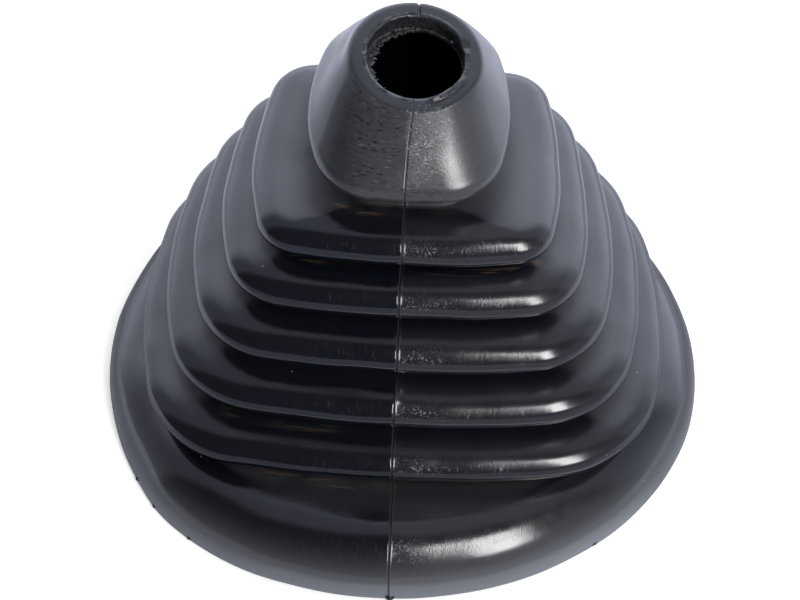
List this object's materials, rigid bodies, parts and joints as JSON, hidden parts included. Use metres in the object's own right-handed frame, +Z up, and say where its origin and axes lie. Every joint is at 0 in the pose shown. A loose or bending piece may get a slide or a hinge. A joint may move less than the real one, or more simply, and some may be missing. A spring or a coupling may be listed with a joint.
{
  "type": "gear shift boot",
  "caption": "Black moulded rubber bellows with a bulging base, stepped folds and a conical neck with a lever hole.",
  "frame": {"origin": "middle of the base, on the plane that the boot is seated on", "axes": "+Z up through the neck, +X across the wider side, -Y towards the side that the picture shows"},
  "size_m": [0.15, 0.1396, 0.1091],
  "materials": {
    "rubber": "moulded, dull shine"
  },
  "bodies": {
    "root": {"boot": "rubber"}
  },
  "joints": []
}
